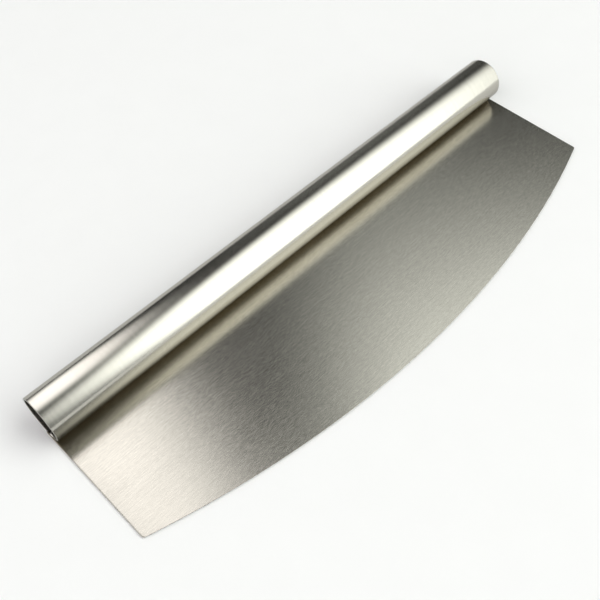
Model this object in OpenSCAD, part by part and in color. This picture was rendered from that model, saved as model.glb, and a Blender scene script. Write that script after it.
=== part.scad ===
// Rocking pizza knife of stainless sheet: a wide flat blade with one curved
// cutting edge, and an open rolled handle along its straight top.
// It lies on its back: X runs along the handle, Y from the cutting edge
// towards the handle, Z up from the table. Sizes are in millimetres.

/* [Blade] */
// Length of the blade, along the handle
blade_l = 355; // [250:1:450]
// Height of the straight sides, from the handle's axis to the lower corner
side_h = 76; // [55:0.5:110]
// How far the curved edge swells beyond the two lower corners
edge_rise = 27.5; // [12:0.5:45]
// Thickness of the blade sheet
blade_t = 1.2; // [1:0.1:2]
// Rounding of the two lower corners
corner_r = 1.2; // [0.6:0.1:6]

/* [Cutting edge] */
// Width of the bevel, which is ground on the back face only
bevel_w = 1.6; // [0.8:0.1:4]
// Thickness left at the blunt tip of the bevel
edge_land = 0.3; // [0.2:0.05:0.6]

/* [Handle] */
// Outer diameter of the rolled handle
tube_d = 26.7; // [20:0.1:40]
// Wall of the rolled handle
tube_wall = 1.2; // [0.8:0.1:2]
// How far each end of the handle stops short of the blade's side
end_inset = 0.5; // [0:0.1:10]
// Distance from the seam's centre line to the free edge of the lip
lip_setback = 3; // [1.5:0.1:4]
// Chamfer around the outer rim of each mouth
rim_chamfer = 0.3; // [0.1:0.05:0.5]

/* [Welds] */
// Width of the seam weld at the back face
seam_face_w = 1.6; // [1:0.1:2.4]
// Width of the seam weld at the front face
seam_root_w = 0.4; // [0.2:0.1:0.8]
// Radius of the tack bead in the corner between lip and blade
tack_r = 1.0; // [0.6:0.1:1.1]
// Length of each tack bead, measured in from the mouth
tack_l = 6; // [3:0.5:15]

/* [Hidden] */

// Margin by which a cutting shape passes through what it cuts
over = 1;
// Steps in a full turn of the handle, and of the edge's long arc
$fn = 96;
arc_steps = 720;

tube_r = tube_d / 2;
bore_r = tube_r - tube_wall;
tube_l = blade_l - 2 * end_inset;

// The origin is under the middle of the whole knife
axis_y = (side_h + edge_rise - tube_r) / 2;
corner_y = axis_y - side_h;
belly_y = corner_y - edge_rise;

// The cutting edge is one arc through both lower corners
edge_r = (pow(blade_l / 2, 2) + pow(edge_rise, 2)) / (2 * edge_rise);
edge_y = belly_y + edge_r;

// Centre of the right corner's rounding, tangent to the side and to the arc
round_x = blade_l / 2 - corner_r;
round_y = edge_y - sqrt(pow(edge_r - corner_r, 2) - pow(round_x, 2));

// The lip is as thick as the handle's wall and starts where the wall meets it
lip_top = blade_t + tube_wall;
lip_start = -sqrt(pow(bore_r, 2) - pow(tube_r - lip_top, 2));

// Lays a drawing of the cross section across the knife, y = 0 on the handle's axis
module along_x(length) {
    translate([0, axis_y, 0])
        rotate([90, 0, 90])
            linear_extrude(height = length, center = true)
                children();
}

// Sharp point left outside the right corner's rounding
module corner_waste() {
    reach = 3 * corner_r;
    lean = atan2(round_y - edge_y, round_x);
    translate([round_x, round_y])
        difference() {
            polygon([
                [0, 0],
                [reach, 0],
                [reach, -reach],
                [reach * cos(lean), reach * sin(lean)]
            ]);
            circle(r = corner_r);
        }
}

module blade_outline() {
    difference() {
        translate([-blade_l / 2, belly_y])
            square([blade_l, axis_y - belly_y]);
        corner_waste();
        mirror([1, 0])
            corner_waste();
    }
}

// Disc whose rim carries the edge's bevel, cut from the back face
module edge_disc() {
    translate([0, edge_y, 0])
        rotate_extrude($fn = arc_steps)
            polygon([
                [0, 0],
                [edge_r - bevel_w, 0],
                [edge_r, blade_t - edge_land],
                [edge_r, blade_t],
                [0, blade_t]
            ]);
}

// Cross section of the seam weld: wide at the back face, narrow at the front
module seam_section() {
    polygon([
        [-seam_face_w / 2, 0],
        [seam_face_w / 2, 0],
        [seam_root_w / 2, blade_t],
        [-seam_root_w / 2, blade_t]
    ]);
}

// Everything the blade, the seam and the gap beside the lip take from the wall
module wall_cutaway() {
    polygon([
        [-tube_r, -over],
        [seam_face_w / 2, -over],
        [seam_face_w / 2, 0],
        [seam_root_w / 2, blade_t],
        [seam_root_w / 2, lip_top + over],
        [-lip_setback, lip_top + over],
        [-lip_setback, blade_t],
        [-tube_r, blade_t]
    ]);
}

module tube_section() {
    difference() {
        translate([0, tube_r])
            difference() {
                circle(r = tube_r);
                circle(r = bore_r);
            }
        wall_cutaway();
    }
    translate([lip_start, blade_t])
        square([-lip_setback - lip_start, tube_wall]);
}

// Round bar with chamfered ends that trims the rims of both mouths
module rim_trim() {
    half = tube_l / 2;
    translate([0, axis_y, tube_r])
        rotate([0, 90, 0])
            rotate_extrude()
                polygon([
                    [0, -half],
                    [tube_r - rim_chamfer, -half],
                    [tube_r, -half + rim_chamfer],
                    [tube_r, half - rim_chamfer],
                    [tube_r - rim_chamfer, half],
                    [0, half]
                ]);
}

// Tack bead inside the right mouth: a quarter round with a domed inner end
module tack_bead() {
    translate([tube_l / 2, axis_y - lip_setback, blade_t])
        intersection() {
            union() {
                translate([-tack_l + tack_r, 0, 0])
                    rotate([0, 90, 0])
                        cylinder(h = tack_l - tack_r, r = tack_r);
                translate([-tack_l + tack_r, 0, 0])
                    sphere(r = tack_r);
            }
            translate([-tack_l, 0, 0])
                cube([tack_l, tack_r, tack_r]);
        }
}

// Flat sheet with parallel sides, a curved ground edge and a bevelled top
// edge that makes one side of the weld groove
module blade() {
    color("darkgray")
        difference() {
            intersection() {
                linear_extrude(height = blade_t)
                    blade_outline();
                edge_disc();
            }
            along_x(blade_l + 2 * over)
                polygon([
                    [-seam_face_w / 2, 0],
                    [-seam_root_w / 2, blade_t],
                    [-seam_root_w / 2, blade_t + over],
                    [over, blade_t + over],
                    [over, -over],
                    [-seam_face_w / 2, -over]
                ]);
        }
}

// Handle rolled into a round tube: its back edge meets the blade's top edge,
// and its free lip lies flat on the blade's front face
module handle_tube() {
    color("silver")
        intersection() {
            along_x(tube_l)
                tube_section();
            rim_trim();
        }
}

// Weld that fills the groove between blade and handle, ground flush
module seam_weld() {
    color("gray")
        along_x(tube_l)
            seam_section();
}

module left_tack_weld() {
    color("gray")
        mirror([1, 0, 0])
            tack_bead();
}

module right_tack_weld() {
    color("gray")
        tack_bead();
}

blade();
handle_tube();
seam_weld();
left_tack_weld();
right_tack_weld();
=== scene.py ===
import math

import bpy
import numpy as np
from mathutils import Matrix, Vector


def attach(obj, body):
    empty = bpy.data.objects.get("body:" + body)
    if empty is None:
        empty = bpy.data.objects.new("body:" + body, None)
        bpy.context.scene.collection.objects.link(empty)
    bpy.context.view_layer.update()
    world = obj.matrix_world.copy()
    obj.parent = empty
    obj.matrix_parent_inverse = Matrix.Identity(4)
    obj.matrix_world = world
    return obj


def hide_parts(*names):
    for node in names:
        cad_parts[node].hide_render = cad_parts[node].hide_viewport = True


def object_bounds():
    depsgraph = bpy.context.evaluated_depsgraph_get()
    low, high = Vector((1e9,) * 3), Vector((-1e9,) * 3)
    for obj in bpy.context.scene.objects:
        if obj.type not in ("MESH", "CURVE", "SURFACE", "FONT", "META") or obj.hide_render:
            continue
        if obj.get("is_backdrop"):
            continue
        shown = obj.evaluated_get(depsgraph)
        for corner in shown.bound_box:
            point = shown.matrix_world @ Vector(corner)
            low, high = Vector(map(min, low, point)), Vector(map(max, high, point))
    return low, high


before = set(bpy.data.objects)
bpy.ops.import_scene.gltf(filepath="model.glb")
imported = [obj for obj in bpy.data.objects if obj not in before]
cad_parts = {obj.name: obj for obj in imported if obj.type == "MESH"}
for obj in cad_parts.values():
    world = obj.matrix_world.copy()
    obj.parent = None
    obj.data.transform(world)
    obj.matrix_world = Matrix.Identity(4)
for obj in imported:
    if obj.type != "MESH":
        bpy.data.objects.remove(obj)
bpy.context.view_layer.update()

# The blade is one flat sheet of stainless steel, sheared to parallel sides and one
# long shallow arc. Its sides are broken by hand, and the arc is ground from the back
# face only, so the front stays flat right up to the cutting edge.
mm = 0.001
sheet = 1.2 * mm
blade_half = 177.5 * mm
axis_y = 45.075 * mm
belly_y = -58.425 * mm
edge_rise = 27.5 * mm
corner_round = 1.2 * mm
bevel_width = 1.6 * mm
bevel_tip = 0.3 * mm
thinnest = 0.2 * mm
side_break = 0.4 * mm
edge_break = 0.06 * mm
seam_back = 0.8 * mm
seam_front = 0.2 * mm

arc_radius = (blade_half ** 2 + edge_rise ** 2) / (2 * edge_rise)
arc_y = belly_y + arc_radius
round_x = blade_half - corner_round
round_y = arc_y - math.sqrt((arc_radius - corner_round) ** 2 - round_x ** 2)


def shell(name, front, back, sharp_above):
    """A closed skin from two grids of points, one for each face of a sheet."""
    rows, columns = front.shape[:2]
    points = np.concatenate([front.reshape(-1, 3), back.reshape(-1, 3)])
    number = np.arange(rows * columns).reshape(rows, columns)
    behind = number + rows * columns
    faces = []
    for grid, turned in ((number, False), (behind, True)):
        corners = [grid[:-1, :-1], grid[1:, :-1], grid[1:, 1:], grid[:-1, 1:]]
        quads = np.stack(corners, -1).reshape(-1, 4)
        faces += (quads[:, ::-1] if turned else quads).tolist()
    rim = [number[0], number[:, -1], number[-1, ::-1], number[::-1, 0]]
    rim_behind = [behind[0], behind[:, -1], behind[-1, ::-1], behind[::-1, 0]]
    for near, far in zip(rim, rim_behind):
        faces += np.stack([near[:-1], near[1:], far[1:], far[:-1]], -1).tolist()
    mesh = bpy.data.meshes.new(name)
    mesh.from_pydata(points.tolist(), [], faces)
    mesh.validate()
    mesh.calc_loop_triangles()
    volume = 0
    for triangle in mesh.loop_triangles:
        a, b, c = (mesh.vertices[corner].co for corner in triangle.vertices)
        volume += a.dot(b.cross(c))
    if volume < 0:
        mesh.flip_normals()
    mesh.shade_smooth()
    mesh.set_sharp_from_angle(angle=math.radians(sharp_above))
    piece = bpy.data.objects.new(name, mesh)
    bpy.context.scene.collection.objects.link(piece)
    return piece


def eased(distance, radius):
    """How far a rounded border of that radius has dropped at a distance from it."""
    inside = np.clip(radius - distance, 0, radius)
    return radius - np.sqrt(radius ** 2 - inside ** 2)


# columns of points crowd at the two sides, and rows at the arc
steps_in = np.array([0, 0.03, 0.09, 0.17, 0.26, 0.34, 0.42, 0.6, 0.85, 1.05, 1.2, 1.6, 2.4]) * mm
columns = np.concatenate([
    -blade_half + steps_in,
    np.linspace(-blade_half + 4 * mm, blade_half - 4 * mm, 171),
    blade_half - steps_in[::-1],
])
rows_near = np.array([0, 0.02, 0.06, 0.14, 0.3, 0.6, 0.9, 1.2, 1.5, 1.6, 1.7, 2.2, 3]) * mm
rows_far = np.linspace(0, 1, 30)[1:]

# the lower outline: the arc, and the rounding of each corner
lower = arc_y - np.sqrt(arc_radius ** 2 - columns ** 2)
in_corner = np.abs(columns) > round_x
past_centre = np.abs(columns[in_corner]) - round_x
rounding = np.sqrt(np.maximum(corner_round ** 2 - past_centre ** 2, 0))
lower[in_corner] = np.maximum(lower[in_corner], round_y - rounding)
start = arc_radius - np.hypot(columns, lower - arc_y)


def blade_face(top_y, is_front):
    grid = []
    band = rows_near[-1]
    for x, y_low, inset_low in zip(columns, lower, start):
        inset = inset_low + rows_near * (band - inset_low) / band
        y = arc_y - np.sqrt((arc_radius - inset) ** 2 - x ** 2)
        y[0] = y_low
        y = np.concatenate([y, y[-1] + (top_y - y[-1]) * rows_far])
        from_arc = arc_radius - np.hypot(x, y - arc_y)
        from_side = np.full_like(y, blade_half - abs(x))
        if abs(x) > round_x:
            corner = y < round_y
            from_side[corner] = corner_round - np.hypot(abs(x) - round_x, y[corner] - round_y)
        drop = eased(np.maximum(from_side, 0), side_break)
        if is_front:
            z = sheet - np.maximum(drop, eased(np.maximum(from_arc, 0), edge_break))
        else:
            ground = (sheet - bevel_tip) * np.clip(1 - from_arc / bevel_width, 0, 1)
            z = np.minimum(np.maximum(drop, ground), sheet - thinnest)
        grid.append(np.stack([np.full_like(y, x), y, z], -1))
    return np.array(grid)


blade = shell(
    "blade_sheet",
    blade_face(axis_y - seam_front, True),
    blade_face(axis_y - seam_back, False),
    sharp_above=20,
)


class Shade:
    """One socket of a material, so that its maths reads as plain sums."""

    def __init__(self, tree, socket=None):
        self.tree, self.socket = tree, socket

    def node(self, kind, settings=None, sockets=None, out=0):
        """Adds a node of that kind: its settings first, then what its sockets hold."""
        made = self.tree.nodes.new("ShaderNode" + kind)
        for name, value in (settings or {}).items():
            setattr(made, name, value)
        for name, value in (sockets or {}).items():
            if isinstance(value, Shade):
                self.tree.links.new(value.socket, made.inputs[name])
            else:
                made.inputs[name].default_value = value
        return Shade(self.tree, made.outputs[out] if made.outputs else None)

    def maths(self, operation, first, second=0.0):
        return self.node("Math", {"operation": operation}, {0: first, 1: second})

    def __add__(self, other):
        return self.maths("ADD", self, other)

    def __radd__(self, other):
        return self.maths("ADD", other, self)

    def __sub__(self, other):
        return self.maths("SUBTRACT", self, other)

    def __rsub__(self, other):
        return self.maths("SUBTRACT", other, self)

    def __mul__(self, other):
        return self.maths("MULTIPLY", self, other)

    def __rmul__(self, other):
        return self.maths("MULTIPLY", other, self)

    def __pow__(self, other):
        return self.maths("POWER", self, other)

    def __rpow__(self, other):
        return self.maths("POWER", other, self)

    def part(self, axis):
        """One of the three numbers of a vector: X, Y or Z."""
        return self.node("SeparateXYZ", None, {"Vector": self}, axis)

    def step(self, low, high):
        """A soft step from 0 at low to 1 at high, or down from 1 if low is above high."""
        ends = {"Value": self, "From Min": low, "From Max": high}
        return self.node("MapRange", {"interpolation_type": "SMOOTHSTEP"}, ends)

    def grain(self, lengths, detail=2.0, rough=0.5, shift=0.0):
        """Noise stretched to those lengths in mm along X, Y and Z, from about 0.3 to 0.7."""
        sizes = {
            "Vector": self,
            "Location": (shift, shift, shift),
            "Scale": tuple(1 / (length * mm) for length in lengths),
        }
        look = {"Scale": 1.0, "Detail": detail, "Roughness": rough}
        return self.node("TexNoise", None, {"Vector": self.node("Mapping", None, sizes), **look})

    def tint(self, dark, light):
        """A colour between two, by this value. The first may be a colour made before."""
        first = dark if isinstance(dark, Shade) else (*dark, 1.0)
        ends = {"Factor": self, "A": first, "B": (*light, 1.0)}
        return self.node("Mix", {"data_type": "RGBA"}, ends, "Result")

    def paint_shade(self, clean, strength):
        """A colour darkened by that strength where this value is 1, to paint shade."""
        ends = {"Factor": self, "A": clean, "B": (*strength, 1.0)}
        return self.node("Mix", {"data_type": "RGBA", "blend_type": "MULTIPLY"}, ends, "Result")

    def relief(self, strength, depth):
        """A normal pushed about by this value as a height, to that depth in mm."""
        height = {"Strength": strength, "Distance": depth * mm, "Height": self}
        return self.node("Bump", None, height)

    def feed(self, shader, socket):
        self.tree.links.new(self.socket, shader.inputs[socket])


def finish(name, **steady):
    """A new material, its shader, and the place on the piece to build from."""
    material = bpy.data.materials.new(name)
    material.use_nodes = True
    tree = material.node_tree
    shader = tree.nodes["Principled BSDF"]
    shader.inputs["Metallic"].default_value = 1.0
    for socket, value in steady.items():
        shader.inputs[socket.replace("_", " ")].default_value = value
    return material, shader, Shade(tree).node("TexCoord", None, None, "Object")


# brushed steel is taken to give back a little less light at grazing angles
grazing = (0.6, 0.6, 0.6, 1.0)
# the tint that paints shade under the handle, on the blade and on the handle's underside, then
# where that painted shade begins on the blade and where it is full
painted_shade_tint = (0.50, 0.465, 0.395)
crease_shade_from, crease_shade_full = 17 * mm, 36.5 * mm

brushed, shader, place = finish("brushed_blade_steel", Specular_Tint=grazing)
hairline = place.grain((14.0, 0.07, 0.07), shift=5.5)
groove = place.grain((4.5, 0.16, 0.16))
streak = place.grain((3.0, 0.7, 0.7), shift=3.1)
long_line = place.grain((70.0, 0.3, 0.3), shift=7.7)
cloud = place.grain((46.0, 30.0, 30.0), shift=1.3)
fine = (hairline - 0.5) * 0.3 + (groove - 0.5) * 0.5
brushing = fine + (streak - 0.5) * 0.7 + (long_line - 0.5) * 0.4
steel = (0.5 + brushing).step(0.0, 1.0).tint((0.375, 0.362, 0.325), (0.55, 0.531, 0.477))
# painted shade: the blade's colour darkens in a strip up to the crease under the handle's overhang
crease_shade = place.part("Y").step(crease_shade_from, crease_shade_full) * (0.8 + (cloud - 0.5) * 0.6)
crease_shade.paint_shade(steel, painted_shade_tint).feed(shader, "Base Color")
(0.20 + (streak - 0.5) * 0.06 + (cloud - 0.5) * 0.04).feed(shader, "Roughness")
((groove - 0.5) * 0.45 + (hairline - 0.5) * 0.25).relief(0.3, 0.03).feed(shader, "Normal")

blade.data.materials.append(brushed)
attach(blade, "root")
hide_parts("blade")

# The handle is a second sheet rolled into an open tube of 26.7 mm. Its back edge is
# welded to the blade's top edge, and its free lip comes round under the front and
# lies flat on the blade. Both mouths are left open, and the lip's ends are ground off.
axis_z = 13.35 * mm
tube_outer = 13.32 * mm
tube_wall = 1.2 * mm
tube_half = 177.0 * mm
seam_gap = 0.5 * mm
lip_free = 3.0 * mm
lip_bend = 2.0 * mm
rim_break = 0.18 * mm
lip_break = 0.35 * mm
grind_along, grind_depth = 0.45 * mm, 0.24 * mm
mouth_depth = 1.5 * mm

# section of the wall's middle: a ring from the seam round the back and the top, then
# a small bend and a flat lip, each point with its outward direction
mid_radius = tube_outer - tube_wall / 2
lip_z = sheet + tube_wall / 2
lean = math.acos((axis_z - lip_bend - lip_z) / (mid_radius - lip_bend))
bottom = math.radians(270)
seam_turn = math.asin(seam_gap / mid_radius)
ring = np.linspace(bottom - 2 * math.pi + seam_turn, bottom - lean, 260)
bend = np.linspace(bottom - lean, bottom, 14)[1:]
bend_centre = np.array([(lip_bend - mid_radius) * math.sin(lean), lip_z + lip_bend])
lip_share = np.array([0.08, 0.25, 0.45, 0.6, 0.7, 0.8, 0.87, 0.92, 0.96, 0.985, 1])
lip_y = bend_centre[0] + (-lip_free - bend_centre[0]) * lip_share
bend_ends = len(ring) + len(bend)
turning = np.concatenate([ring, bend, np.full(len(lip_share), bottom)])
outward = np.stack([np.cos(turning), np.sin(turning)], -1)
line = np.concatenate([
    outward[:len(ring)] * mid_radius + [0, axis_z],
    outward[len(ring):bend_ends] * lip_bend + bend_centre,
    np.stack([lip_y, np.full(len(lip_share), lip_z)], -1),
])
run = np.concatenate([[0], np.cumsum(np.hypot(*np.diff(line, axis=0).T))])
rim_steps = np.array([0, 0.02, 0.05, 0.09, 0.13, 0.18, 0.3, 0.5, 0.7, 0.95, 1.2, 1.4, 2, 3]) * mm
stations = np.concatenate([
    -tube_half + rim_steps,
    np.linspace(-tube_half + 6 * mm, tube_half - 6 * mm, 60),
    tube_half - rim_steps[::-1],
])

# the rim's rounding gives way to the lip's ground end shortly before the bend
to_rim = tube_half - np.abs(stations)
turn_from, turn_to = run[len(ring) - 26], run[len(ring) - 8]
on_lip = np.clip((run - turn_from) / (turn_to - turn_from), 0, 1)[:, None]
ground_end = grind_depth * np.clip(1 - to_rim / grind_along, 0, 1)
at_rim = eased(to_rim, rim_break) * (1 - on_lip) + ground_end * on_lip
half_wall = tube_wall / 2 - np.maximum(at_rim, eased(run[-1] - run, lip_break)[:, None])


def wall_face(side):
    section = line[:, None, :] + side * half_wall[..., None] * outward[:, None, :]
    x = np.broadcast_to(stations, half_wall.shape)
    return np.stack([x, axis_y + section[..., 0], section[..., 1]], -1)


handle = shell("handle_roll", wall_face(1), wall_face(-1), sharp_above=40)

satin, shader, place = finish("satin_handle_steel", Specular_Tint=grazing)
turned = place.grain((0.16, 40.0, 40.0), 3.0, 0.6, 2.2)
band = place.grain((0.9, 60.0, 60.0), shift=5.1)
speck = place.grain((1.2, 0.8, 0.8), shift=9.4)
cloud = place.grain((38.0, 16.0, 16.0), shift=4.4)
polish = (turned - 0.5) * 0.6 + (band - 0.5) * 0.4 + (speck - 0.5) * 0.3
steel = (0.5 + polish).step(0.0, 1.0).tint((0.472, 0.455, 0.412), (0.56, 0.54, 0.489))
# painted shade: the underside over the blade is darkened, most low down near the blade, and made a
# little rougher there
low_down = place.part("Z").step(8 * mm, 2.5 * mm)
underside_shade = low_down * place.part("Y").step(axis_y - 4 * mm, axis_y - 8 * mm)
(underside_shade * (0.85 + (cloud - 0.5) * 0.5)).paint_shade(steel, painted_shade_tint).feed(shader, "Base Color")
rough = 0.195 + (band - 0.5) * 0.05 + (cloud - 0.5) * 0.05 + underside_shade * 0.05
rough.feed(shader, "Roughness")
((turned - 0.5) * 0.5 + (speck - 0.5) * 0.3).relief(0.25, 0.02).feed(shader, "Normal")

# inside the tube: a rougher, marked mill finish, and its far darker colour is painted shade
mill_and_shade, shader, place = finish("mill_finish_and_painted_shade_inside")
marks = place.grain((9.0, 2.0, 2.0), 3.0, 0.6, 6.6)
dull_and_shaded = marks.step(0.25, 0.75).tint((0.115, 0.108, 0.095), (0.175, 0.165, 0.147))
dull_and_shaded.feed(shader, "Base Color")
(0.42 + (marks - 0.5) * 0.2).feed(shader, "Roughness")
marks.relief(0.4, 0.03).feed(shader, "Normal")

handle.data.materials.append(satin)
handle.data.materials.append(mill_and_shade)
# the inside faces past the mouths take the darker inside material with its painted shade
one_side = (len(line) - 1) * (len(stations) - 1)
for face in handle.data.polygons[one_side:2 * one_side]:
    if tube_half - abs(face.center.x) > mouth_depth:
        face.material_index = 1
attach(handle, "root")
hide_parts("handle_tube")

# The seam weld fills the groove between the blade's top edge and the handle's back
# edge. It is ground flush with the back, so only a strip of finer grinding shows.
seam_end = 0.3 * mm
bead_pitch = 1.9 * mm
bead_bow = 9 / mm
bead_height = 0.012 * mm
seam_rows = np.array([-0.8, -0.72, -0.5, -0.25, 0, 0.25, 0.5, 0.72, 0.8]) * mm
seam_x = np.concatenate([
    -tube_half + rim_steps[:7],
    np.linspace(-tube_half + 1 * mm, tube_half - 1 * mm, 420),
    tube_half - rim_steps[6::-1],
])


def seam_face(is_back):
    grid = []
    across = seam_rows * (1 if is_back else seam_front / seam_back)
    for x in seam_x:
        end = eased(tube_half - abs(x), seam_end)
        if is_back:
            beads = 1 - np.cos(x / bead_pitch + bead_bow * np.abs(seam_rows))
            z = bead_height * beads * (1 - (seam_rows / seam_back) ** 2) + end
        else:
            z = np.full_like(across, sheet) - end
        grid.append(np.stack([np.full_like(across, x), axis_y + across, z], -1))
    return np.array(grid)


seam = shell("seam_bead", seam_face(False), seam_face(True), sharp_above=32)

ground, shader, place = finish("ground_weld_steel")
belt = place.grain((7.0, 0.06, 0.3), 3.0, 0.65, 8.1)
heat = place.grain((11.0, 3.0, 3.0), shift=2.9)
steel = (belt * 0.7 + heat * 0.3).step(0.3, 0.7).tint((0.40, 0.385, 0.36), (0.56, 0.55, 0.53))
steel.feed(shader, "Base Color")
(0.26 + (belt - 0.5) * 0.16 + (heat - 0.5) * 0.08).feed(shader, "Roughness")
belt.relief(0.45, 0.03).feed(shader, "Normal")

seam.data.materials.append(ground)
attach(seam, "root")
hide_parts("seam_weld")

# A tack just inside each mouth holds the lip down on the blade: a short bead laid in
# the corner between the lip's edge and the blade, with the ripples of its puddles.
tack_radius = 0.98 * mm
tack_length = 6.0 * mm
tack_body = 0.84
tack_ripples = 9
ripple_depth = 0.07
end_share = 0.14
least = 0.02

raw_weld, shader, place = finish("tack_weld_steel")
blotch = place.grain((0.9, 0.9, 0.9), 3.0, 0.6, 4.7)
steel = blotch.step(0.3, 0.7).tint((0.30, 0.285, 0.27), (0.52, 0.51, 0.49))
steel.feed(shader, "Base Color")
(0.34 + (blotch - 0.5) * 0.3).feed(shader, "Roughness")
blotch.relief(0.5, 0.06).feed(shader, "Normal")

# shares of the bead's length, from the mouth in, closer together at the inner end
tack_end = 1 - end_share * np.cos(np.linspace(0.35, math.pi / 2, 12))
tack_along = np.unique(np.concatenate([np.linspace(0, 1 - end_share, 60), tack_end]))
tack_turn = np.linspace(0, math.pi / 2, 16)


def tack(name, side, node):
    """A rippled quarter-round bead that narrows to a rounded inner end."""
    crown, root = [], []
    for t in tack_along:
        closing = max(t - tack_body, 0) / (1 - tack_body)
        ripple = 1 - ripple_depth * (0.5 - 0.5 * math.cos(t * 2 * math.pi * tack_ripples))
        reach = tack_radius * math.sqrt(max(1 - closing ** 2, least ** 2)) * ripple
        x = side * (tube_half - tack_length * t)
        y = axis_y - lip_free
        crown.append([[x, y + reach * math.cos(a), sheet + reach * math.sin(a)] for a in tack_turn])
        root.append([[x, y, sheet + reach * least * math.sin(a)] for a in tack_turn])
    bead = shell(name, np.array(crown), np.array(root), sharp_above=60)
    bead.data.materials.append(raw_weld)
    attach(bead, "root")
    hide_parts(node)


tack("left_tack_bead", -1, "left_tack_weld")
tack("right_tack_bead", 1, "right_tack_weld")

# The knife lies on a pale matt table, a disc a hair under the knife's back. Far off,
# where only low views look, the table runs out into plain white.
table_radius = 3.86
table_drop = 0.02 * mm
fade_from, fade_to = 1.2, 2.8
turns = [2 * math.pi * i / 96 for i in range(96)]
rim = [(table_radius * math.cos(a), table_radius * math.sin(a), 0) for a in turns]
table_mesh = bpy.data.meshes.new("table")
table_mesh.from_pydata(rim, [], [list(range(len(rim)))])
table = bpy.data.objects.new("table", table_mesh)
bpy.context.scene.collection.objects.link(table)
table.location.z = -table_drop

pale, shader, place = finish("pale_table", Metallic=0.0, Roughness=1.0, Specular_IOR_Level=0.0)
paper = place.grain((25.0, 25.0, 25.0))
paper.tint((0.93, 0.93, 0.925), (0.95, 0.95, 0.945)).feed(shader, "Base Color")
distance = place.node("VectorMath", {"operation": "LENGTH"}, {0: place}, "Value")
seen = place.node("LightPath", None, None, "Is Camera Ray")
white = place.node("Emission", None, {"Color": (1, 1, 1, 1), "Strength": 1.0})
matt = Shade(place.tree, shader.outputs["BSDF"])
fade = distance.step(fade_from, fade_to) * seen
place.node("MixShader", None, {0: fade, 1: matt, 2: white}).feed(
    place.tree.nodes["Material Output"], "Surface"
)
table.data.materials.append(pale)
table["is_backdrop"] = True

# A soft light tent stands over the table and carries all the light: an oval window
# panel behind, a broad panel over the front and right, and a white wall on the far
# left for the views that look from the right.
tent_size = 3.9
broad_light, window_light, wall_light = 2.45, 2.54, 1.45
levels, around = 48, 96
tent_reach = math.pi / 2 * 1.02
tent_points = [(0, 0, tent_size)]
for i in range(1, levels + 1):
    down = tent_reach * i / levels
    for j in range(around):
        a = 2 * math.pi * j / around
        ring_radius = tent_size * math.sin(down)
        tent_points.append((
            ring_radius * math.cos(a), ring_radius * math.sin(a), tent_size * math.cos(down)
        ))
tent_faces = [(0, 1 + (j + 1) % around, 1 + j) for j in range(around)]
for i in range(levels - 1):
    above, below = 1 + i * around, 1 + (i + 1) * around
    for j in range(around):
        k = (j + 1) % around
        tent_faces.append((above + j, above + k, below + k, below + j))
tent_mesh = bpy.data.meshes.new("light_tent")
tent_mesh.from_pydata(tent_points, [], tent_faces)
tent_mesh.shade_smooth()
tent = bpy.data.objects.new("light_tent", tent_mesh)
bpy.context.scene.collection.objects.link(tent)
tent.visible_camera = False
tent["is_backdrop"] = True

cloth = bpy.data.materials.new("tent_cloth")
cloth.use_nodes = True
cloth.cycles.emission_sampling = "NONE"
cloth.node_tree.nodes.clear()
place = Shade(cloth.node_tree).node("TexCoord", None, None, "Object")
way = place.node("VectorMath", {"operation": "NORMALIZE"}, {0: place}, "Vector")
# a direction as its share to the right, and as degrees of turn from the back horizon
# over the top to the front one
right = way.part("X")
turn = way.part("Z").maths("ARCTAN2", way.part("Z"), way.part("Y")) * (180 / math.pi)

# broad panel: its near edge sags towards the middle, its left edge is bowed
near_edge = 73.1 + (right - 0.464) ** 2 * 189.8
near = (turn - near_edge).step(-27.4, 26.2)
left_edge = 0.118 + (turn - 132.4) ** 2 * 6.96e-5
left = (right - left_edge).step(-0.145, 0.096)
broad = near * left * right.step(0.902, 0.617)
# window panel: an upright oval with a soft rim
wide = (right - 0.074) * (1 / 0.11)
high = (turn - 50.5) * (1 / 35.8)
reach = wide * wide + high * high
window = reach.maths("SQRT", reach).step(1.414, 0.586)
wall = right.step(-0.3, -0.6)
# what the rest of the room sends back: a little everywhere, and more from two places
middle = right.step(0.25, 0.55) * right.step(0.85, 0.6) * turn.step(75, 20)
dim = 0.03 + middle * 0.183 + turn.step(100, 130) * 0.2
light = dim + broad * broad_light + window * window_light + wall * wall_light
panel_colour = window.tint((0.97, 1.0, 0.965), (1.0, 0.975, 0.975))
light_colour = wall.tint(panel_colour, (1.0, 0.98, 1.0))
glow = way.node("Emission", None, {"Color": light_colour, "Strength": light})
glow.node("OutputMaterial", None, {"Surface": glow})
tent.data.materials.append(cloth)

# Beyond the tent the room is plain white.
# Only low views over the table see it.
world = bpy.data.worlds.new("white_room")
bpy.context.scene.world = world
world.use_nodes = True
room = world.node_tree.nodes["Background"]
room.inputs["Color"].default_value = (1, 1, 1, 1)
room.inputs["Strength"].default_value = 1.0
world.cycles.sampling_method = "NONE"

# The camera stands over the knife's left mouth and looks down at it. Its place, its
# direction and its lens are the ones that were fitted to the photo.
camera_at = (-0.20939, -0.16417, 0.35192)
camera_look = np.array([0.4115, 0.4074, -0.8153])
camera_roll = math.radians(-0.31)
sensor = 36.0
lens_pixels, picture_pixels = 775.1, 600

eye = bpy.data.cameras.new("camera")
eye.sensor_width = sensor
eye.lens = lens_pixels / picture_pixels * sensor
eye.clip_start, eye.clip_end = 0.01, 20.0
camera = bpy.data.objects.new("camera", eye)
bpy.context.scene.collection.objects.link(camera)
look = camera_look / np.linalg.norm(camera_look)
level = np.cross(look, [0, 0, 1])
level /= np.linalg.norm(level)
across = level * math.cos(camera_roll) + np.cross(level, look) * math.sin(camera_roll)
upward = np.cross(across, look)
stand = Matrix(np.stack([across, upward, -look], -1).tolist()).to_4x4()
stand.translation = camera_at
camera.matrix_world = stand
bpy.context.scene.camera = camera

bpy.context.scene.view_settings.view_transform = "Standard"

low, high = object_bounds()
